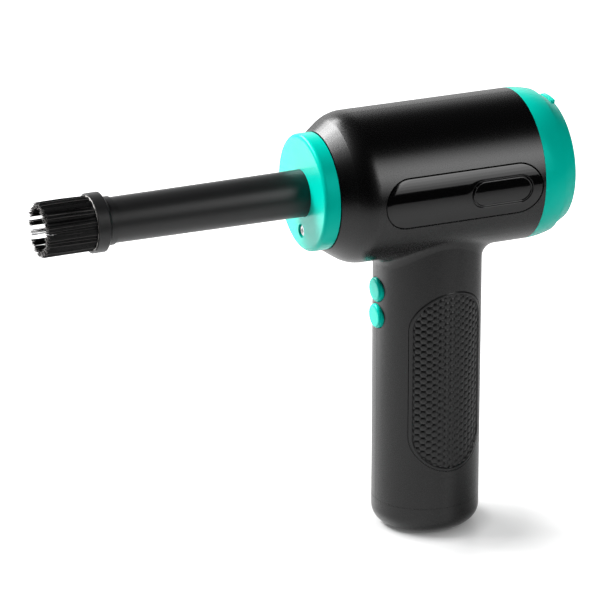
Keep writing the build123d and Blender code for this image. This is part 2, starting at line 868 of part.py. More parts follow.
def impeller_nut():
    """The hexagon nut that holds the impeller on its shaft."""
    hexagon = RegularPolygon(nut_flats / 2, 6, major_radius=False) - Circle(shaft_radius + press)
    return extrude(across(impeller_rear) * hexagon, nut_thickness)


def diffuser():
    """The guide vanes that carry the motor in the duct."""
    hub_in = motor_radius + slip
    hub_out = hub_in + hub_wall
    front = motor_rear - diffuser_length
    body = tube(front, diffuser_rear, hub_out, hub_in) + tube(motor_rear, diffuser_rear, hub_out)
    middle_r = (hub_in + duct_inner + wall) / 2
    blank = Box(2 * diffuser_length, vane_thickness, duct_inner + wall - hub_in)
    vane = Pos(0, 0, middle_r) * Rot(0, 0, vane_angle) * blank
    middle = Pos((front + diffuser_rear) / 2, 0, axis_height)
    vanes = [middle * Rot(360 * i / vane_count, 0, 0) * vane for i in range(vane_count)]
    trim = tube(front, diffuser_rear, duct_inner - slip, hub_in + hub_wall / 2)
    body = body.fuse(*[vane & trim for vane in vanes])
    low, high = motor_rear - overcut, diffuser_rear + overcut
    body -= tube(low, high, shaft_radius + gap)
    for y in (-motor_screw_circle, motor_screw_circle):
        body -= cylinder_x(y, axis_height, low, high, motor_screw_radius + slip)
    return body


def motor_screws():
    """The screws that hold the motor to the diffuser."""
    screw = Rot(0, 90, 0) * (
        extrude(Circle(motor_screw_head), motor_screw_head_height)
        + Pos(0, 0, -motor_screw_length) * extrude(Circle(motor_screw_radius), motor_screw_length)
    )
    return [Pos(diffuser_rear, y, axis_height) * screw for y in (-motor_screw_circle, motor_screw_circle)]


def motor_can():
    """The motor's cup, with its rear bearing seat."""
    seat = bearing_radius + press
    boss = seat + bearing_boss_wall
    inner = motor_radius - motor_wall
    plate = motor_rear - motor_end
    can = turned_corners(
        (motor_rear, shaft_radius + gap), (motor_rear, motor_radius), (motor_front, motor_radius),
        (motor_front, inner), (plate, inner), (plate, boss), (plate - bearing_width, boss),
        (plate - bearing_width, seat), (plate, seat), (plate, shaft_radius + gap),
    )
    low, high = plate - overcut, motor_rear + overcut
    for y in (-motor_screw_circle, motor_screw_circle):
        can -= cylinder_x(y, axis_height, low, high, motor_screw_radius + running)
    return can


def motor_end_bell():
    """The plate that closes the motor's front, with its front bearing seat."""
    seat = bearing_radius + press
    boss = seat + bearing_boss_wall
    return turned_corners(
        (motor_front - motor_end, shaft_radius + gap), (motor_front - motor_end, motor_radius),
        (motor_front, motor_radius), (motor_front, boss), (motor_front + bearing_width, boss),
        (motor_front + bearing_width, seat), (motor_front, seat), (motor_front, shaft_radius + gap),
    )


def bearing(x_low):
    """A motor bearing from its front face."""
    return tube(x_low, x_low + bearing_width, bearing_radius, shaft_radius + running)


def motor_shaft():
    """The shaft through motor, impeller and nut."""
    return tube(motor_front - motor_end, impeller_rear + nut_thickness, shaft_radius)


def rotor_magnet():
    """The magnet on the shaft."""
    half = magnet_length / 2
    return tube(motor_middle - half, motor_middle + half, magnet_radius, shaft_radius + press)


def stator_core():
    """The stator's ring and its inward teeth."""
    outer = motor_radius - motor_wall - press
    tooth = Pos(outer / 2, 0) * Rectangle(outer, tooth_width)
    arms = sum_of(Rot(0, 0, 360 * i / tooth_count) * tooth for i in range(tooth_count))
    teeth = Circle(outer - core_ring / 2) & arms
    section = (Circle(outer) - Circle(outer - core_ring)) + teeth - Circle(magnet_radius + air_gap)
    half = core_length / 2
    return extrude(across(motor_middle - half) * section, core_length)


def motor_coils():
    """The copper coils, one round each tooth."""
    inner = magnet_radius + air_gap + coil_thickness / 2
    ring_in = motor_radius - motor_wall - press - core_ring
    half = core_length / 2
    depth = coil_thickness
    half_width = tooth_width / 2 + depth
    outer = sqrt(ring_in ** 2 - half_width ** 2) - slip
    coil = box_between((-half - depth, -half_width, inner), (half + depth, half_width, outer))
    tooth = Box(core_length + 2 * press, tooth_width + 2 * press, 4 * outer)
    coil = fillet(coil.edges().filter_by(Axis.Z), depth / 2) - tooth
    turn = [Rot(90 - 360 * i / tooth_count, 0, 0) for i in range(tooth_count)]
    return [Pos(motor_middle, 0, axis_height) * place * coil for place in turn]


def rubber_mount(x_low):
    """A rubber ring that holds the duct in the barrel."""
    return tube(x_low, x_low + mount_width, mount_outer, duct_radius + slip)


def air_funnel():
    """The funnel from the duct to the nozzle, with the boss of the ring's screw."""
    socket = spigot_radius + slip
    neck_out = nozzle_bore + funnel_wall
    mouth_rear = funnel_neck_end + funnel_mouth
    neck_turn = funnel_step + funnel_wall
    funnel = turned_corners(
        (funnel_front, socket), (funnel_step, socket), (funnel_step, nozzle_bore),
        (funnel_neck_end, nozzle_bore), (mouth_rear, duct_inner), (funnel_rear, duct_inner),
        (funnel_rear, duct_radius),
        (mouth_rear - funnel_wall / 2, duct_radius), (funnel_neck_end - funnel_wall / 2, neck_out),
        (neck_turn, neck_out), (neck_turn, socket + funnel_wall), (funnel_front, socket + funnel_wall),
    )
    front = funnel_front - overcut
    boss = cylinder_x(0, ring_screw_height, funnel_front, funnel_front + funnel_boss_length, funnel_boss)
    hole = cylinder_x(0, ring_screw_height, front, funnel_front + ring_screw_length, screw_shank + running)
    return funnel + (boss - tube(front, 0, socket + funnel_wall / 2)) - hole


def sum_of(shapes):
    """One sketch or solid from many."""
    shapes = list(shapes)
    return shapes[0].fuse(*shapes[1:]) if len(shapes) > 1 else shapes[0]


def cell_places():
    """The centres of the three cells."""
    return [(cell_circle * cos(radians(120 * i)), cell_circle * sin(radians(120 * i))) for i in range(3)]


def battery_cells():
    """The three cells, each with its rounded ends."""
    cell = extrude(Circle(cell_radius), cell_length)
    cell = fillet(cell.edges().filter_by(GeomType.CIRCLE), cell_edge)
    return [Pos(x, y, cell_bottom) * cell for x, y in cell_places()]


def strap_section(ear):
    """The star that joins the cells' ends, with an ear in the side channel if it has a lead."""
    arm = Pos(cell_circle / 2, 0) * Rectangle(cell_circle + strap_width, strap_width)
    arms = [Rot(0, 0, 120 * i) * arm for i in range(3)]
    if ear:
        tab = Pos(channel_radius / 2, 0) * Rectangle(channel_radius + 2 * lead_radius, 4 * lead_radius)
        arms.append(Rot(0, 0, -channel_angle) * tab)
    return sum_of(arms)


def cell_straps():
    """The nickel straps at both ends of the cells."""
    bottom = Pos(0, 0, cell_bottom - strap_thickness) * extrude(strap_section(True), strap_thickness)
    top = Pos(0, 0, cell_top) * extrude(strap_section(False), strap_thickness)
    return [bottom, top]


def holder_section():
    """The outline of a cell holder, notched for the leads in the side channels."""
    depth = channel_depth + 2 * lead_radius
    notch = Pos(holder_radius, 0) * Rectangle(2 * depth, 6 * lead_radius)
    return Circle(holder_radius) - Rot(0, 0, -channel_angle) * notch - Rot(0, 0, channel_angle) * notch


def cell_holder_bottom():
    """The tray under the cells."""
    tray = Pos(0, 0, battery_floor) * extrude(holder_section(), holder_plate + strap_thickness + holder_rim)
    room_height = strap_thickness + holder_rim + overcut
    tray -= Pos(0, 0, battery_floor + holder_plate) * extrude(strap_room(True), room_height)
    return cells_cut_from(tray, battery_floor + holder_plate)


def cell_holder_top():
    """The cap over the cells, with a hole for the positive lead."""
    low = cell_top - holder_rim
    cap = Pos(0, 0, low) * extrude(holder_section(), holder_top_high - low)
    cap -= Pos(0, 0, low - overcut) * extrude(strap_room(False), holder_top_low - low + overcut)
    cap = cells_cut_from(cap, low - overcut)
    return cap - upright_cylinder(0, 0, low, holder_top_high + overcut, lead_radius + slip)


def strap_room(ear):
    """The room that a holder leaves round the straps."""
    return offset(strap_section(ear), amount=gap, kind=Kind.INTERSECTION)


def cells_cut_from(shape, low):
    """A holder with the cells' room taken out, up to the top holder's plate."""
    for x, y in cell_places():
        shape -= upright_cylinder(x, y, low, holder_top_low, cell_radius + gap)
    return shape


def control_board():
    """The upright board behind the buttons."""
    half = board_width / 2
    top = board_bottom + board_height - gap
    return box_between((board_front, -half, board_bottom), (board_rear, half, top))


def on_board(y, rise, width, tall, depth):
    """A flat block on the control board's rear face."""
    low = board_bottom + rise
    return box_between((board_rear, y - width / 2, low), (board_rear + depth, y + width / 2, low + tall))


def board_components():
    """The capacitor, controller and power transistors on the board's rear face."""
    height = board_bottom + capacitor_rise
    capacitor = cylinder_x(capacitor_y, height, board_rear, board_rear + capacitor_length, capacitor_radius)
    controller = on_board(controller_y, controller_rise, controller_width, controller_tall, controller_depth)
    transistors = [
        on_board(y, transistor_rise, transistor_width, transistor_tall, transistor_depth)
        for y in (-transistor_spacing, 0, transistor_spacing)
    ]
    return [capacitor, controller] + transistors


def tact_switches():
    """The two push switches on the board's front face."""
    half = switch_size / 2
    hole_depth = plunger_length - plunger_reach + button_travel + gap
    switches = []
    for height in button_heights:
        case = box_between((switch_front, -half, height - half), (board_front, half, height + half))
        case = fillet(case.edges().filter_by(Axis.X), gap)
        front, rear = switch_front - overcut, switch_front + hole_depth
        switches.append(case - cylinder_x(0, height, front, rear, plunger_radius + running))
    return switches


def switch_plunger(height):
    """The plunger of one switch."""
    return cylinder_x(0, height, plunger_tip, plunger_tip + plunger_length, plunger_radius)


def button(height):
    """A button: domed cap, flange behind the wall and stem to its switch."""
    plane = Plane(origin=(flange_front, 0, height), x_dir=(0, 1, 0), z_dir=(-1, 0, 0))
    cap = extrude(plane * Ellipse(button_width / 2, button_tall / 2), flange_front - button_face)
    cap = fillet(cap.edges().group_by(Axis.X)[0], button_edge)
    half_y = button_flange_width / 2
    half_z = button_tall / 2 - gap
    flange = box_between((flange_front, -half_y, height - half_z), (flange_rear, half_y, height + half_z))
    flange = fillet(flange.edges().filter_by(Axis.X), button_flange)
    stem = cylinder_x(0, height, flange_front, plunger_tip, plunger_radius)
    return cap + flange + stem


def charge_board():
    """The small charging board that lies across the handle."""
    half = charge_board_width / 2
    low = (charge_board_front, -half, charge_board_height)
    return box_between(low, (charge_board_rear, half, charge_board_top))


def usb_socket():
    """The charging socket: a metal shell round its tongue."""
    front = usb_rear - usb_depth
    shell = usb_block(0, front, usb_rear) - usb_block(-usb_shell, front + 2 * usb_shell, usb_rear + overcut)
    tongue = box_between(
        (front + usb_shell, -usb_width / 3, usb_middle - usb_shell),
        (usb_rear - 2 * usb_shell, usb_width / 3, usb_middle + usb_shell),
    )
    return shell + tongue


def side_panel(side):
    """The glossy panel let into one side of the barrel."""
    layer = tube(barrel_front, barrel_rear, barrel_radius, barrel_radius - panel_thickness)
    panel = panel_prism(side, panel_length, panel_half_arc, panel_centre) & layer
    pocket = tube(barrel_front, barrel_rear, barrel_radius + overcut, barrel_radius - badge_sink - slip)
    return panel - (panel_prism(side, badge_length, badge_half_arc, badge_centre, badge_groove) & pocket)


def badge(side):
    """The bare badge of one panel, with its raised rim."""
    outer = barrel_radius - badge_sink + badge_thickness
    layer = tube(barrel_front, barrel_rear, outer, barrel_radius - badge_sink)
    dish = tube(barrel_front, barrel_rear, outer + overcut, outer - badge_dish)
    plate = panel_prism(side, badge_length, badge_half_arc, badge_centre) & layer
    return plate - (panel_prism(side, badge_length, badge_half_arc, badge_centre, -badge_rim) & dish)


def grip(side):
    """The rubber grip let into one side of the handle: a smooth rim round a sunk field."""
    low, high = grip_height - grip_length, grip_height + grip_length
    pad = grip_prism(side) & shell_between(0, grip_thickness, low, high)
    return pad - (grip_prism(side, grip_rim) & shell_between(-overcut, grip_dish, low, high))


def lead(points, radius):
    """A lead: straight runs joined by arcs as large as its two runs allow."""
    corners = [Vector(*p) for p in points]
    radii = []
    for before, here, after in zip(corners, corners[1:], corners[2:]):
        turn = radians((here - before).get_angle(after - here))
        shorter = min((here - before).length, (after - here).length)
        radii.append(0.45 * shorter / tan(turn / 2))
    print("lead's bend radii", [round(r, 1) for r in radii])
    path = FilletPolyline(*points, radius=radii)
    section = Plane(origin=path @ 0, z_dir=path % 0) * Circle(radius)
    return sweep(section, path)


def channel_point(angle, z):
    """A point of a side channel between the cells."""
    return (channel_radius * cos(radians(angle)), channel_radius * sin(radians(angle)), z)


def battery_wires():
    """The two leads from the cells to the control board."""
    turn_height = holder_top_high + lead_lift
    height = board_bottom + lead_board_rise
    bend_x = board_rear + lead_stand
    x, y, _ = channel_point(-channel_angle, 0)
    positive = [
        (0, 0, holder_top_low), (0, 0, turn_height), (bend_x, positive_lead_y, height),
        (board_rear, positive_lead_y, height),
    ]
    negative = [
        (x, y, cell_bottom), (x, y, turn_height), (bend_x, negative_lead_y, height),
        (board_rear, negative_lead_y, height),
    ]
    return [lead(positive, lead_radius), lead(negative, lead_radius)]


def charge_wires():
    """The two leads from the charging board to the control board."""
    pad_y = charge_board_width / 2 - charge_pad_inset
    turn_height = holder_top_high + lead_lift
    height = board_bottom + lead_board_rise
    bend_x = board_rear + lead_stand
    leads = []
    for i, angle in enumerate((channel_angle - channel_spread, channel_angle + channel_spread)):
        x, y, low = channel_point(angle, charge_board_top + lead_lift)
        board_y = charge_lead_y - charge_lead_spacing * i
        route = [
            (x, pad_y, charge_board_top), (x, pad_y, low), (x, y, low + lead_lift / 2), (x, y, turn_height),
            (bend_x, board_y, height), (board_rear, board_y, height),
        ]
        leads.append(lead(route, thin_lead_radius))
    return leads


def motor_wires():
    """The three leads from the control board to the motor's end bell."""
    rise = board_bottom + board_height - motor_lead_drop
    run = axis_height - (motor_radius + duct_inner) / 2
    spot = axis_height - motor_lead_spot
    front = motor_front - motor_end
    turn_x = front - motor_lead_turn
    leads = []
    for y in (-motor_lead_spacing, 0, motor_lead_spacing):
        route = [
            (board_rear, y, rise), (motor_lead_x, y, rise), (motor_lead_x, y, run), (turn_x, y, run),
            (turn_x, y, spot), (front, y, spot),
        ]
        leads.append(lead(route, lead_radius))
    return leads


shell = housing_shell()
nodes = {
    "housing_left": housing_half(shell, -1),
    "housing_right": housing_half(shell, 1),
    "housing_screws": housing_screws(),
    "bottom_cap": bottom_cap(),
    "front_ring": front_ring(),
    "front_ring_screw": front_ring_screw(),
    "nozzle_tube": nozzle_tube(),
    "nozzle_seal": nozzle_seal(),
    "brush_collar": brush_collar(),
    "brush_bristles": brush_bristles(),
    "rear_ring": rear_ring(),
    "rear_cover": rear_cover(),
    "filter_foam": filter_foam(),
    "filter_retainer": filter_retainer(),
    "fan_duct": fan_duct(),
    "fan_inlet": fan_inlet(),
    "impeller": impeller(),
    "impeller_nut": impeller_nut(),
    "diffuser": diffuser(),
    "motor_screws": motor_screws(),
    "motor_can": motor_can(),
    "motor_end_bell": motor_end_bell(),
    "bearing_front": bearing(motor_front),
    "bearing_rear": bearing(motor_rear - motor_end - bearing_width),
    "motor_shaft": motor_shaft(),
    "rotor_magnet": rotor_magnet(),
    "stator_core": stator_core(),
    "motor_coils": motor_coils(),
    "motor_mount_front": rubber_mount(front_mount_x),
    "motor_mount_rear": rubber_mount(rear_mount_x),
    "air_funnel": air_funnel(),
    "battery_cells": battery_cells(),
    "cell_straps": cell_straps(),
    "cell_holder_bottom": cell_holder_bottom(),
    "cell_holder_top": cell_holder_top(),
    "control_board": control_board(),
    "board_components": board_components(),
    "tact_switches": tact_switches(),
    "switch_plunger_upper": switch_plunger(button_heights[0]),
    "switch_plunger_lower": switch_plunger(button_heights[1]),
    "button_upper": button(button_heights[0]),
    "button_lower": button(button_heights[1]),
    "charge_board": charge_board(),
    "usb_socket": usb_socket(),
    "side_panel_left": side_panel(-1),
    "side_panel_right": side_panel(1),
    "badge_left": badge(-1),
    "badge_right": badge(1),
    "grip_left": grip(-1),
    "grip_right": grip(1),
    "battery_wires": battery_wires(),
    "charge_wires": charge_wires(),
    "motor_wires": motor_wires(),
}

os.makedirs("parts", exist_ok=True)
for name, pieces in nodes.items():
    shape = Compound(children=pieces) if isinstance(pieces, list) else pieces
    export_step(shape, "parts/" + name + ".step")
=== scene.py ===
"""The looks of the handheld vacuum cleaner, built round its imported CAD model. Sizes are metres."""

import json
import random
from math import cos, exp, pi, radians, sin, sqrt, tan

import bmesh
import bpy
import numpy as np
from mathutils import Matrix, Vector
from mathutils.geometry import delaunay_2d_cdt


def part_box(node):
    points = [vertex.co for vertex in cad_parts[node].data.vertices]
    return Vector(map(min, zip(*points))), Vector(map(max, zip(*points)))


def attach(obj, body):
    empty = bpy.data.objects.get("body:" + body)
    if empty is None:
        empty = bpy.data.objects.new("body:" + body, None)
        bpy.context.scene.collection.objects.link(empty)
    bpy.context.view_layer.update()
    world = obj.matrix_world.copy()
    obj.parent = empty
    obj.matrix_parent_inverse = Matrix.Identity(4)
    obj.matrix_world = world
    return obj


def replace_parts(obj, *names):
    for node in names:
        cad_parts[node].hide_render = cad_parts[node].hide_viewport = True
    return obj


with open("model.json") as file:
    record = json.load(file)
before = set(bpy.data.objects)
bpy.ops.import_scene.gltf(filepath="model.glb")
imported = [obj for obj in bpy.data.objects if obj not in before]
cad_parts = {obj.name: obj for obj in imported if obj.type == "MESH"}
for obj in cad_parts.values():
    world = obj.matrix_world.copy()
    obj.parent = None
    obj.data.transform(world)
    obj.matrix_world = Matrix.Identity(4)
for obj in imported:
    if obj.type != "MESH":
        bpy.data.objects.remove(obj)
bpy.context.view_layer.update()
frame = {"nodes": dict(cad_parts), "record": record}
nodes = frame["nodes"]

# The photograph's camera, whose azimuth is measured from the view along +Y
camera_azimuth = radians(23.633)
camera_elevation = radians(20.390)
camera_place = Vector((-0.78649, -1.65975, 0.78489))
camera_lens = 270
camera_sensor = 36

# Lamps: the way to each as an azimuth from -Y towards +X and a height in degrees, and its size as angles
side_target = Vector((-0.045, 0.0, 0.16))
side_distance = 0.7
side_azimuth = 31
side_width = 19
side_row_tall = 4
side_row_count = 12
side_row_first = 1
side_peak = 5.5
side_middle = 24
side_spread = 19.5
rear_target = Vector((-0.03, 0.0, 0.15))
rear_distance = 1.1
rear_tall = 21
# The softboxes behind the object: azimuth, height, width and radiance
rear_fan = (
    (-163, 32, 20, 10.5),
    (-144, 38, 20, 17.0),
    (-124, 42, 20, 20.0),
    (-107, 43, 12, 9.0),
    (-90, 43, 18, 1.2),
)

# The table: its size and its paper
floor_back = 4.0
floor_front = 0.55
floor_albedo = 0.60
floor_shade = 1.01
floor_grain = 0.002
floor_roughness = 0.35
floor_shine = 0.5

# The table as the camera sees it: its glow grows with the distance from the object's foot, so that it is
# held low about the foot as painted shade that deepens the real shadow there
painted_shade_glow, middle_glow, open_glow = 0.05, 0.44, 0.79
contact_near, contact_far = 0.016, 0.031
middle_near, middle_far = 0.044, 0.073

# The table as the object mirrors it: pale about the foot, with a painted shadow at the back right and a
# painted pool of light at the back left
mirrored_glow = 0.30
mirrored_near, mirrored_far = 0.28, 0.55
painted_shadow_ahead = 0.08
painted_shadow_width = 0.06
painted_pool_near, painted_pool_far = 0.06, 0.20

# The room and its backdrop
backdrop_azimuth = radians(170)
backdrop_out, backdrop_in = 0.45, 0.85
backdrop_radiance = 0.95
backdrop_low, backdrop_high = 0.30, 0.74
room_radiance = 0.006

# The range that most of a noise texture lies in
noise_low, noise_high = 0.3, 0.7

# The handle's section and the grips let into it
handle_low, handle_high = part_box("bottom_cap")
handle_a = (handle_high.x - handle_low.x) / 2
handle_b = (handle_high.y - handle_low.y) / 2
grip_low, grip_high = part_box("grip_left")
grip_middle = (grip_low.z + grip_high.z) / 2
grip_spread = 0.00014  # wider than the CAD's grip, so that only a fine line shows round it
grip_half_length = (grip_high.z - grip_low.z) / 2 + grip_spread
grip_half_width = 0.0178 + grip_spread
grip_end = 0.0170 + grip_spread
grip_turn = radians(6)
grip_thickness = 0.0012
grip_rim = 0.0012
grip_round = 0.0003
grip_slope = 0.0004
grip_floor = 0.00092
dome_pitch = 0.0031
dome_height = 0.00042
dome_flatness = 4

# The grips' mesh: loops of points at these insets from the outline, and a lattice of points within them
grip_insets = (
    0.0, 0.0001, 0.0002, 0.0003, 0.0007, 0.0011, 0.0012, 0.0013, 0.0014, 0.0015, 0.0016, 0.0017
)
grip_reach = 0.025
loop_step = 0.0004
lattice_parts = 8
lattice_extra = 1.1
fine_gap, coarse_gap = 0.0002, 0.001
section_points = 3001
halvings = 26
outside_reach = 0.01
tiny = 0.00001
merge_distance = 0.0000001

# The brush, whose tufts lie about the barrel's axis
collar_low, collar_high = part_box("brush_collar")
bristle_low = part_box("brush_bristles")[0]
axis_height = (collar_low.z + collar_high.z) / 2
collar_radius = (collar_high.z - collar_low.z) / 2
backing_depth = 0.0016
backing_outer = collar_radius - 0.0010
backing_inner = 0.0091
tuft_circle = (backing_outer + backing_inner) / 2
tuft_count = 16
tuft_half_width = 0.00170
tuft_half_depth = 0.00118
tuft_splay = 1.10
tuft_uneven = 0.0009
tuft_lean = 0.0004
near_fullness, far_fullness = 1.32, 0.66
strands_per_tuft = 60
# Every this many hairs takes a paler finish: painted streaks of light along the tufts
painted_streak_step = 9
strand_radius = 0.00013
strand_turn = radians(137.508)
strand_bow, strand_sway = 0.00025, 0.0003
strand_sides = 5
strand_steps = 5
sparse_tuft = 15
sparse_strands = 12
backing_round = 0.0002
backing_steps = 96
brush_seed = 7

# The glossy plates on the barrel's sides
panel_low, panel_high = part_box("side_panel_left")
badge_low, badge_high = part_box("badge_left")
barrel_radius = -panel_low.y
panel_thickness = 0.0012
panel_round = 0.0004
badge_sink = 0.0005
badge_groove = 0.00035
badge_round = 0.00032
badge_rim = 0.0007
badge_dish = 0.00035
plate_slit = 0.00002
end_points = 40
side_points = 60
round_steps = 6
slit_loops = 6
top_loops = 14


def material(name):
    """A fresh node-based material, its node tree and its surface shader."""
    made = bpy.data.materials.new(name)
    made.use_nodes = True
    tree = made.node_tree
    return made, tree, tree.nodes["Principled BSDF"]


def add(tree, kind, inputs=(), **settings):
    """Adds a shader node, sets its properties and fills or links its named sockets."""
    node = tree.nodes.new(kind)
    for key, value in settings.items():
        setattr(node, key, value)
    for socket, value in dict(inputs).items():
        if isinstance(value, bpy.types.NodeSocket):
            tree.links.new(value, node.inputs[socket])
        else:
            node.inputs[socket].default_value = value
    return node


def ramp(tree, value, start, end, first=0.0, last=1.0):
    """Carries a value over from one range to another, held at both ends."""
    return add(
        tree, "ShaderNodeMapRange",
        {"Value": value, "From Min": start, "From Max": end, "To Min": first, "To Max": last},
    ).outputs["Result"]


def maths(tree, operation, first, second):
    """One step of arithmetic on two values."""
    return add(tree, "ShaderNodeMath", {0: first, 1: second}, operation=operation).outputs[0]


def noise(tree, size, detail=2.0):
    """Noise over the surface, with lumps of about this size."""
    place = add(tree, "ShaderNodeTexCoord").outputs["Object"]
    return add(tree, "ShaderNodeTexNoise", {"Vector": place, "Scale": 1 / size, "Detail": detail})


def finish(
    name, colour, roughness, uneven=0.04, shade=0.12, patch=0.012, grain=0.0004, depth=0.000004,
    metal=0.0, tint=(1, 1, 1)
):
    """A moulded or metal surface: its tone and gloss drift in soft patches, over a fine grain."""
    made, tree, shader = material(name)
    drift = noise(tree, patch, 3.0).outputs["Fac"]
    fine = noise(tree, grain).outputs["Fac"]
    mix = add(tree, "ShaderNodeMix", {"Factor": drift}, data_type="RGBA")
    mix.inputs[6].default_value = (*[c * (1 - shade) for c in colour], 1)
    mix.inputs[7].default_value = (*[min(1.0, c * (1 + shade)) for c in colour], 1)
    tree.links.new(mix.outputs[2], shader.inputs["Base Color"])
    gloss = ramp(tree, fine, noise_low, noise_high, roughness - uneven, roughness + uneven)
    tree.links.new(gloss, shader.inputs["Roughness"])
    bump = add(tree, "ShaderNodeBump", {"Height": fine, "Distance": depth, "Strength": 1.0})
    tree.links.new(bump.outputs["Normal"], shader.inputs["Normal"])
    shader.inputs["Metallic"].default_value = metal
    shader.inputs["Specular Tint"].default_value = (*tint, 1)
    return made


finishes = {
    "black_satin": finish("black_satin", (0.0015, 0.0015, 0.0016), 0.27, uneven=0.012, depth=0.0000008),
    "tube_black": finish("tube_black", (0.013, 0.013, 0.0135), 0.40),
    "black_gloss": finish("black_gloss", (0.0025, 0.0025, 0.0027), 0.07, uneven=0.012, depth=0.0000005),
    "teal_plastic": finish(
        "teal_plastic", (0.0, 0.69, 0.54), 0.25, uneven=0.02, shade=0.03, depth=0.000001,
        tint=(0.0, 0.8, 0.65)
    ),
    "rubber_black": finish(
        "rubber_black", (0.005, 0.005, 0.0052), 0.29, uneven=0.02, grain=0.0003, depth=0.000002
    ),
    "bristle": finish("bristle", (0.005, 0.005, 0.0053), 0.3, patch=0.002),
    # Painted highlight: a paler hair now and then stands in for the streaks of light along the tufts
    "bristle_painted_streak": finish("bristle_painted_streak", (0.1, 0.097, 0.094), 0.3, patch=0.002),
    # Painted highlight: the pale cut ends stand in for the glints on the hairs' tips
    "bristle_end_painted_glint": finish("bristle_end_painted_glint", (0.8, 0.77, 0.75), 0.3, patch=0.0005),
    "backing": finish("backing", (0.6, 0.58, 0.56), 0.35, patch=0.002),
    "screw_steel": finish("screw_steel", (0.55, 0.55, 0.56), 0.28, patch=0.002, grain=0.0001, metal=1.0),
    "motor_steel": finish("motor_steel", (0.5, 0.5, 0.5), 0.32, grain=0.0002, metal=1.0),
    "magnet": finish("magnet", (0.25, 0.25, 0.26), 0.3, metal=1.0),
    "copper": finish("copper", (0.62, 0.26, 0.12), 0.35, shade=0.25, patch=0.001, metal=1.0),
    "grey_plastic": finish("grey_plastic", (0.11, 0.115, 0.12), 0.45),
    "foam": finish(
        "foam", (0.02, 0.02, 0.02), 0.9, uneven=0.05, shade=0.5, patch=0.0008, grain=0.0006, depth=0.0004
    ),
    "cell_wrap": finish("cell_wrap", (0.02, 0.16, 0.35), 0.3, shade=0.05),
    "nickel": finish("nickel", (0.62, 0.6, 0.56), 0.25, metal=1.0),
    "board_green": finish("board_green", (0.01, 0.12, 0.05), 0.4, shade=0.2, patch=0.003),
    "component": finish("component", (0.02, 0.02, 0.022), 0.5),
    "wire_red": finish("wire_red", (0.4, 0.015, 0.015), 0.4, shade=0.08),
}


def dress_nodes():
    """Gives each CAD node the finish of its slot in the record, with a softer one on the nozzle."""
    for part in frame["record"]["subparts"]:
        mesh = nodes[part["node"]].data
        look = "tube_black" if part["node"] in ("nozzle_tube", "brush_collar") else part["material_slot"]
        mesh.materials.clear()
        mesh.materials.append(finishes[look])


def add_piece(name, mesh, body):
    """Links a mesh as a piece that rides on a body."""
    piece = bpy.data.objects.new(name, mesh)
    bpy.context.scene.collection.objects.link(piece)
    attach(piece, body)
    return piece


def smooth(mesh, angle=radians(35)):
    """Shades a mesh smooth, with its sharp edges kept."""
    mesh.shade_smooth()
    mesh.set_sharp_from_angle(angle=angle)


class HandleSide:
    """One side of the handle as a flat map: s runs round the section and z up it."""

    def __init__(self, side):
        angles = side * pi / 2 - np.linspace(-pi / 2, pi / 2, section_points)
        self.x = handle_a * np.cos(angles)
        self.y = handle_b * np.sin(angles)
        self.u = self.x * cos(grip_turn) - side * self.y * sin(grip_turn)
        order = np.argsort(self.u)
        self.x, self.y, self.u = self.x[order], self.y[order], self.u[order]
        step = np.hypot(np.diff(self.x), np.diff(self.y))
        self.s = np.concatenate([[0.0], np.cumsum(step)])
        self.s -= np.interp(0.0, self.u, self.s)

    def arc(self, u):
        """The place round the section that lies at u across the grip's plane."""
        return np.interp(u, self.u, self.s)

    def across(self, s):
        """The place across the grip's plane at s round the section."""
        return np.interp(s, self.s, self.u)

    def point(self, s, z, height):
        """The point at s and z, raised from the handle's surface."""
        x, y = np.interp(s, self.s, self.x), np.interp(s, self.s, self.y)
        out = np.stack([x / handle_a ** 2, y / handle_b ** 2], -1)
        out /= np.linalg.norm(out, axis=-1, keepdims=True)
        return np.stack([x + out[:, 0] * height, y + out[:, 1] * height, z], -1)


def grip_depth(u, v):
    """How far inside the grip's outline a point of its plane lies: below zero is outside."""
    straight = grip_half_length - grip_end
    u, v = np.abs(u), np.maximum(np.abs(v) - straight, 0)
    low, high = np.full(u.shape, -outside_reach), np.full(u.shape, grip_half_width - tiny)
    for _ in range(halvings):
        middle = (low + high) / 2
        inside = (u / (grip_half_width - middle)) ** 2 + (v / (grip_end - middle)) ** 2 < 1
        low, high = np.where(inside, middle, low), np.where(inside, high, middle)
    return low


def grip_loop(inset):
    """Points round the grip's outline at an inset, in its plane."""
    half_width, end = grip_half_width - inset, grip_end - inset
    straight = grip_half_length - grip_end
    bend = np.linspace(0, pi, int(pi * end / loop_step))
    side = np.linspace(straight, -straight, int(2 * straight / loop_step))[1:-1]
    top = np.stack([half_width * np.cos(bend), straight + end * np.sin(bend)], -1)
    left = np.stack([np.full(side.shape, -half_width), side], -1)
    return np.concatenate([top, left, -top, -left])


def lattice(step):
    """A triangular lattice over the grip, as places round and up the handle."""
    column = step * cos(radians(30))
    columns = int(grip_reach / column)
    rows = int(lattice_extra * grip_half_length / step)
    places = [
        (i * column, (j + (i % 2) / 2) * step)
        for i in range(-columns, columns + 1)
        for j in range(-rows, rows + 1)
    ]
    return np.array(places)


def grip_height(s, z, depth):
    """The grip's relief: a rounded rim, a sunk floor and the domes on it."""
    edge = -grip_round * np.clip(1 - depth / grip_round, 0, 1) ** 2
    fall = np.clip((depth - grip_rim) / grip_slope, 0, 1)
    floor = -grip_floor * fall * fall * (3 - 2 * fall)
    column = dome_pitch * cos(radians(30))
    nearest = np.full(s.shape, dome_pitch)
    first = np.round(s / column)
    for shift in (-1, 0, 1):
        i = first + shift
        offset = (i % 2) / 2 * dome_pitch
        across = s - i * column
        up = z - offset - np.round((z - offset) / dome_pitch) * dome_pitch
        leaning = cos(radians(30)) * np.abs(across) + 0.5 * np.abs(up)
        nearest = np.minimum(nearest, np.maximum(np.abs(up), leaning))
    dome = dome_height * np.clip(1 - (nearest / (dome_pitch / 2)) ** dome_flatness, 0, 1)
    return edge + floor + dome * fall


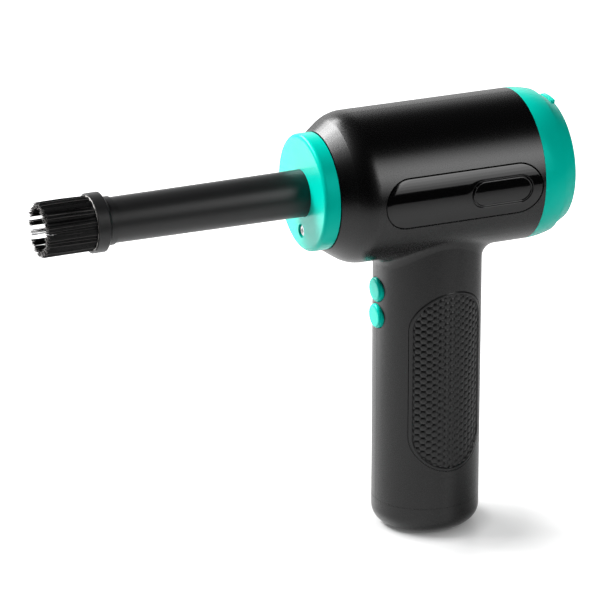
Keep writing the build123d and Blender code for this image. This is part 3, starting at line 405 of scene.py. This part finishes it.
def triangulate(points):
    """Triangles over a flat set of points."""
    found = delaunay_2d_cdt([Vector(p) for p in points], [], [], 0, merge_distance)
    return np.array([tuple(v) for v in found[0]]), [tuple(face) for face in found[2]]


def within(places, faces, centre_depth):
    """The triangles whose middles lie inside the grip's outline."""
    middles = np.array([places[list(face)].mean(0) for face in faces])
    inside = centre_depth(middles) > 0
    return [face for face, kept in zip(faces, inside) if kept]


def add_grip(name, side):
    """A rubber grip: one closed skin with its domes in the sunk field."""
    surface = HandleSide(side)

    def depth_at(places):
        return grip_depth(surface.across(places[:, 0]), places[:, 1])

    loops = []
    for inset in grip_insets:
        loop = grip_loop(inset)
        loops.append(np.stack([surface.arc(loop[:, 0]), loop[:, 1]], -1))
    fine = lattice(dome_pitch / lattice_parts)
    fine = fine[depth_at(fine) > grip_insets[-1] + fine_gap]
    places, faces = triangulate(np.concatenate(loops + [fine]))
    faces = within(places, faces, depth_at)
    raised = grip_height(places[:, 0], places[:, 1], depth_at(places))
    front = surface.point(places[:, 0], places[:, 1], raised)

    edge = loops[0]
    coarse = lattice(dome_pitch)
    coarse = coarse[depth_at(coarse) > coarse_gap]
    back_places, back_faces = triangulate(np.concatenate([edge, coarse]))
    back_faces = within(back_places, back_faces, depth_at)
    back = surface.point(back_places[:, 0], back_places[:, 1], np.full(len(back_places), -grip_thickness))

    shift = len(front)
    skin = list(faces) + [tuple(shift + i for i in reversed(face)) for face in back_faces]
    ring = len(edge)
    skin += [(i, (i + 1) % ring, shift + (i + 1) % ring, shift + i) for i in range(ring)]
    points = np.concatenate([front, back])
    points[:, 2] += grip_middle
    mesh = bpy.data.meshes.new(name)
    mesh.from_pydata(points.tolist(), [], skin)
    mesh.validate()
    tidy_normals(mesh)
    smooth(mesh, radians(50))
    mesh.materials.append(finishes["rubber_black"])
    piece = add_piece(name, mesh, "housing")
    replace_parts(piece, "grip_left" if side < 0 else "grip_right")


def tidy_normals(mesh):
    """Turns every face of a closed mesh outwards."""
    work = bmesh.new()
    work.from_mesh(mesh)
    bmesh.ops.recalc_face_normals(work, faces=work.faces)
    work.to_mesh(mesh)
    work.free()


def add_strand(points, faces, ends, pale, root, tip, bend):
    """Adds one hair of the brush: a thin tube with a slight bend and a flat cut end."""
    start = len(points)
    ring = [(cos(2 * pi * k / strand_sides), sin(2 * pi * k / strand_sides)) for k in range(strand_sides)]
    for step in range(strand_steps + 1):
        t = step / strand_steps
        middle = root.lerp(tip, t) + bend * (4 * t * (1 - t))
        for y, z in ring:
            points.append((middle.x, middle.y + strand_radius * y, middle.z + strand_radius * z))
    first_face = len(faces)
    for step in range(strand_steps):
        a = start + step * strand_sides
        for k in range(strand_sides):
            n = (k + 1) % strand_sides
            faces.append((a + k, a + n, a + strand_sides + n, a + strand_sides + k))
    # Every so many hairs are paler: painted streaks of light
    if len(ends) % painted_streak_step == 0:
        pale += range(first_face, len(faces))
    last = start + strand_steps * strand_sides
    faces.append(tuple(start + k for k in reversed(range(strand_sides))))
    ends.append(len(faces))
    faces.append(tuple(last + k for k in range(strand_sides)))


def add_brush():
    """The brush's hairs in sixteen tufts, and the pale ring that they are set in."""
    chance = random.Random(brush_seed)
    points, faces, ends, pale = [], [], [], []
    front = collar_low.x
    reach = front - bristle_low.x - tuft_uneven
    for tuft in range(tuft_count):
        turn = 2 * pi * tuft / tuft_count
        outward = Vector((0, cos(turn), sin(turn)))
        sideways = Vector((0, -sin(turn), cos(turn)))
        fullness = (near_fullness + far_fullness - (near_fullness - far_fullness) * cos(turn)) / 2
        count = sparse_strands if tuft == sparse_tuft else int(strands_per_tuft * fullness)
        half_width = tuft_half_width * fullness
        lean = sideways * chance.uniform(-tuft_lean, tuft_lean)
        for i in range(count):
            share = sqrt((i + 0.5) / count)
            around = i * strand_turn
            out = outward * (tuft_half_depth * share * cos(around))
            off = sideways * (half_width * share * sin(around))
            centre = Vector((0, 0, axis_height)) + outward * tuft_circle
            root = centre + out + off
            tip = centre + tuft_splay * (out + off) + lean
            root.x = front + backing_depth / 2
            tip.x = front - reach - chance.uniform(-1, 1) * tuft_uneven
            bow = outward * chance.uniform(-strand_bow, strand_bow)
            sway = sideways * chance.uniform(-strand_sway, strand_sway)
            add_strand(points, faces, ends, pale, root, tip, bow + sway)
    mesh = bpy.data.meshes.new("brush_hairs")
    mesh.from_pydata(points, [], faces)
    tidy_normals(mesh)
    smooth(mesh, radians(60))
    mesh.materials.append(finishes["bristle"])
    mesh.materials.append(finishes["bristle_end_painted_glint"])
    mesh.materials.append(finishes["bristle_painted_streak"])
    # The cut ends take the pale finish: painted glints on the tips
    for index in ends:
        mesh.polygons[index].material_index = 1
    for index in pale:
        mesh.polygons[index].material_index = 2
    hairs = add_piece("brush_hairs", mesh, "brush")
    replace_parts(hairs, "brush_bristles")
    outline = [
        (front + backing_depth, backing_inner), (front + backing_depth, backing_outer),
        (front + backing_round, backing_outer), (front, backing_outer - backing_round),
        (front, backing_inner + backing_round), (front + backing_round, backing_inner),
    ]
    ring = turned("brush_backing", outline, backing_steps)
    smooth(ring)
    ring.materials.append(finishes["backing"])
    add_piece("brush_backing", ring, "brush")


def turned(name, outline, steps):
    """A closed ring turned about the barrel's axis from an outline of (x, radius)."""
    count = len(outline)
    points = [
        (x, r * cos(2 * pi * k / steps), axis_height + r * sin(2 * pi * k / steps))
        for k in range(steps)
        for x, r in outline
    ]
    faces = []
    for k in range(steps):
        a, b = k * count, (k + 1) % steps * count
        faces += [(a + i, a + (i + 1) % count, b + (i + 1) % count, b + i) for i in range(count)]
    mesh = bpy.data.meshes.new(name)
    mesh.from_pydata(points, [], faces)
    tidy_normals(mesh)
    return mesh


def stadium(low, high, inset):
    """Points round a stadium that fills a box of the side view, drawn inwards by an inset."""
    radius = (high.z - low.z) / 2 - inset
    straight = (high.x - low.x) / 2 - radius - inset
    bend = np.linspace(-pi / 2, pi / 2, end_points)
    line = np.linspace(straight, -straight, side_points)[1:-1]
    half = np.concatenate([
        np.stack([straight + radius * np.cos(bend), radius * np.sin(bend)], -1),
        np.stack([line, np.full(line.shape, radius)], -1),
    ])
    middle = np.array([(high.x + low.x) / 2, (high.z + low.z) / 2 - axis_height])
    return np.concatenate([half, -half]) + middle


def rounded(low, high, inset, top, size, inwards):
    """Loops of a rounded edge that rises to its top, from an outline inwards or outwards."""
    loops = []
    for turn in np.linspace(0, pi / 2, round_steps):
        away = size * (1 - cos(turn)) * inwards
        loops.append((stadium(low, high, inset + away), top - size * (1 - sin(turn))))
    return loops


def between(first, last, radius, count):
    """Loops that lead evenly from one outline to another over the barrel's curve."""
    return [(first + (last - first) * k / count, radius) for k in range(1, count)]


def floor_loops(low, high, inset, radius):
    """Loops that close an outline down to a narrow slit."""
    outline = stadium(low, high, inset)
    slit = stadium(low, high, (high.z - low.z) / 2 - plate_slit)
    return [(outline, radius)] + between(outline, slit, radius, slit_loops) + [(slit, radius)]


def add_plate(name, loops, side, replaced):
    """A closed plate on the barrel's side from loops of (x, z), each at its radius about the axis."""
    count = len(loops[0][0])
    points = [
        (x, side * sqrt(radius ** 2 - z ** 2), axis_height + z)
        for outline, radius in loops
        for x, z in outline.tolist()
    ]
    last = (len(loops) - 1) * count
    faces = [
        (a + k, a + (k + 1) % count, a + count + (k + 1) % count, a + count + k)
        for a in range(0, last, count)
        for k in range(count)
    ]
    faces += [tuple(range(count)), tuple(range(last, last + count))]
    mesh = bpy.data.meshes.new(name)
    mesh.from_pydata(points, [], faces)
    tidy_normals(mesh)
    smooth(mesh, radians(40))
    mesh.materials.append(finishes["black_gloss"])
    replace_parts(add_piece(name, mesh, "housing"), replaced)


def add_side_plates(side, which):
    """The glossy panel with its rounded edge and pocket, and the bare badge with its raised rim."""
    back = floor_loops(panel_low, panel_high, 0, barrel_radius - panel_thickness)[::-1]
    edge = rounded(panel_low, panel_high, 0, barrel_radius, panel_round, 1)
    mouth = rounded(badge_low, badge_high, -badge_groove, barrel_radius, panel_round, -1)[::-1]
    pocket = floor_loops(badge_low, badge_high, -badge_groove, barrel_radius - badge_sink)
    top = between(edge[-1][0], mouth[0][0], barrel_radius, top_loops)
    add_plate(f"panel_{which}_rounded", back + edge + top + mouth + pocket, side, f"side_panel_{which}")
    crest = -badge_low.y
    back = floor_loops(badge_low, badge_high, 0, barrel_radius - badge_sink)[::-1]
    edge = rounded(badge_low, badge_high, 0, crest, badge_round, 1)
    fall = rounded(badge_low, badge_high, badge_rim, crest, badge_dish, -1)[::-1]
    dish = floor_loops(badge_low, badge_high, badge_rim, crest - badge_dish)[1:]
    add_plate(f"badge_{which}_rounded", back + edge + fall + dish, side, f"badge_{which}")


def way(azimuth, height):
    """The unit direction at an azimuth, from -Y towards +X, and a height."""
    return Vector((sin(azimuth) * cos(height), -cos(azimuth) * cos(height), sin(height)))


def add_lamp(name, target, distance, azimuth, height, width, tall, radiance):
    """A flat lamp that faces a place on the object, as wide and tall as these angles from there."""
    data = bpy.data.lights.new(name, "AREA")
    data.shape = "RECTANGLE"
    data.size = 2 * distance * tan(radians(width / 2))
    data.size_y = 2 * distance * tan(radians(tall / 2))
    data.energy = radiance * pi * data.size * data.size_y
    lamp = bpy.data.objects.new(name, data)
    out = way(radians(azimuth), radians(height))
    lamp.location = target + distance * out
    lamp.rotation_euler = out.to_track_quat("Z", "Y").to_euler()
    lamp.visible_camera = False
    bpy.context.scene.collection.objects.link(lamp)


def add_side_softbox():
    """The tall softbox at the viewer's right, in rows that are brightest about its middle."""
    for row in range(side_row_count):
        height = side_row_first + row * side_row_tall
        radiance = side_peak * exp(-((height - side_middle) / side_spread) ** 2)
        name = f"side_softbox_{row}"
        add_lamp(
            name, side_target, side_distance, side_azimuth, height, side_width, side_row_tall, radiance
        )


def add_rear_softboxes():
    """The softboxes behind the object, in a fan."""
    for turn, height, width, radiance in rear_fan:
        name = f"rear_softbox_{-turn}"
        add_lamp(name, rear_target, rear_distance, turn, height, width, rear_tall, radiance)


def add_world():
    """A dark room with a pale backdrop behind the object, which the camera sees as plain white."""
    world = bpy.data.worlds.new("studio")
    world.use_nodes = True
    tree = world.node_tree
    background = tree.nodes["Background"]
    place = add(tree, "ShaderNodeTexCoord")
    back = way(backdrop_azimuth, 0)
    toward = add(
        tree, "ShaderNodeVectorMath", {0: place.outputs["Generated"], 1: back}, operation="DOT_PRODUCT"
    ).outputs["Value"]
    height = add(tree, "ShaderNodeSeparateXYZ", {"Vector": place.outputs["Generated"]}).outputs["Z"]
    across = ramp(tree, toward, backdrop_out, backdrop_in)
    fade = ramp(tree, height, backdrop_low, backdrop_high, 1.0, 0.0)
    lit = ramp(tree, maths(tree, "MULTIPLY", across, fade), 0.0, 1.0, room_radiance, backdrop_radiance)
    seen = add(tree, "ShaderNodeLightPath")
    mix = add(tree, "ShaderNodeMix", {"Factor": seen.outputs["Is Camera Ray"]}, data_type="RGBA")
    tree.links.new(lit, mix.inputs[6])
    mix.inputs[7].default_value = (1, 1, 1, 1)
    tree.links.new(mix.outputs[2], background.inputs["Color"])
    bpy.context.scene.world = world


def add_floor():
    """A pale table, cut off in front, that glows where it is seen or mirrored and keeps the shadow;
    painted shade holds its glow low about the foot, and what the object mirrors of it carries a painted
    shadow at the back right and a painted pool of light at the back left.
    """
    front, back = -floor_front, floor_back
    corners = [(-back, front, 0), (back, front, 0), (back, back, 0), (-back, back, 0)]
    mesh = bpy.data.meshes.new("floor")
    mesh.from_pydata(corners, [], [(0, 1, 2, 3)])
    floor = bpy.data.objects.new("floor", mesh)
    bpy.context.scene.collection.objects.link(floor)
    made, tree, shader = material("floor_paper")
    grain = noise(tree, floor_grain).outputs["Fac"]
    tone = add(tree, "ShaderNodeMix", {"Factor": grain}, data_type="RGBA")
    for socket, level in ((6, floor_albedo), (7, floor_albedo * floor_shade)):
        tone.inputs[socket].default_value = (level, level, level, 1)
    tree.links.new(tone.outputs[2], shader.inputs["Base Color"])
    shader.inputs["Roughness"].default_value = floor_roughness
    shader.inputs["Specular IOR Level"].default_value = floor_shine

    place = add(tree, "ShaderNodeTexCoord").outputs["Object"]
    away = add(tree, "ShaderNodeVectorMath", {0: place}, operation="LENGTH").outputs["Value"]
    axes = add(tree, "ShaderNodeSeparateXYZ", {"Vector": place}).outputs
    x, y = axes["X"], axes["Y"]
    rays = add(tree, "ShaderNodeLightPath").outputs

    # Painted shade: the glow is held low about the foot and rises away from it, on top of the real shadow
    glow_with_painted_shade = ramp(tree, away, contact_near, contact_far, painted_shade_glow, middle_glow)
    further = ramp(tree, away, middle_near, middle_far, 0.0, open_glow - middle_glow)
    straight = maths(tree, "MULTIPLY", rays["Is Camera Ray"], maths(tree, "ADD", glow_with_painted_shade, further))

    pale = ramp(tree, away, mirrored_near, mirrored_far, mirrored_glow, 0.0)
    # Painted shadow: the mirrored glow is cut off at the back right, where the object's shadow falls
    painted_shadow_side = maths(tree, "MINIMUM", x, maths(tree, "ADD", y, painted_shadow_ahead))
    pale = maths(tree, "MULTIPLY", pale, ramp(tree, painted_shadow_side, 0.0, painted_shadow_width, 1.0, 0.0))
    # Painted pool of light: the mirrored table is bright at the back left, under the rear softboxes
    painted_pool_side = maths(tree, "MINIMUM", maths(tree, "MULTIPLY", x, -1.0), y)
    painted_pool = ramp(tree, painted_pool_side, painted_pool_near, painted_pool_far)
    mirrored = maths(tree, "MULTIPLY", rays["Is Glossy Ray"], maths(tree, "MAXIMUM", pale, painted_pool))
    shader.inputs["Emission Color"].default_value = (1, 1, 1, 1)
    tree.links.new(maths(tree, "MAXIMUM", straight, mirrored), shader.inputs["Emission Strength"])
    mesh.materials.append(made)


def add_camera():
    """The camera at the photograph's place and angle."""
    data = bpy.data.cameras.new("camera")
    data.lens = camera_lens
    data.sensor_width = camera_sensor
    camera = bpy.data.objects.new("camera", data)
    camera.location = camera_place
    camera.rotation_euler = (pi / 2 - camera_elevation, 0, -camera_azimuth)
    bpy.context.scene.collection.objects.link(camera)
    bpy.context.scene.camera = camera


dress_nodes()
add_grip("grip_left_domes", -1)
add_grip("grip_right_domes", 1)
add_side_plates(-1, "left")
add_side_plates(1, "right")
add_brush()
add_camera()
add_world()
add_floor()
add_side_softbox()
add_rear_softboxes()
bpy.context.scene.view_settings.view_transform = "Standard"
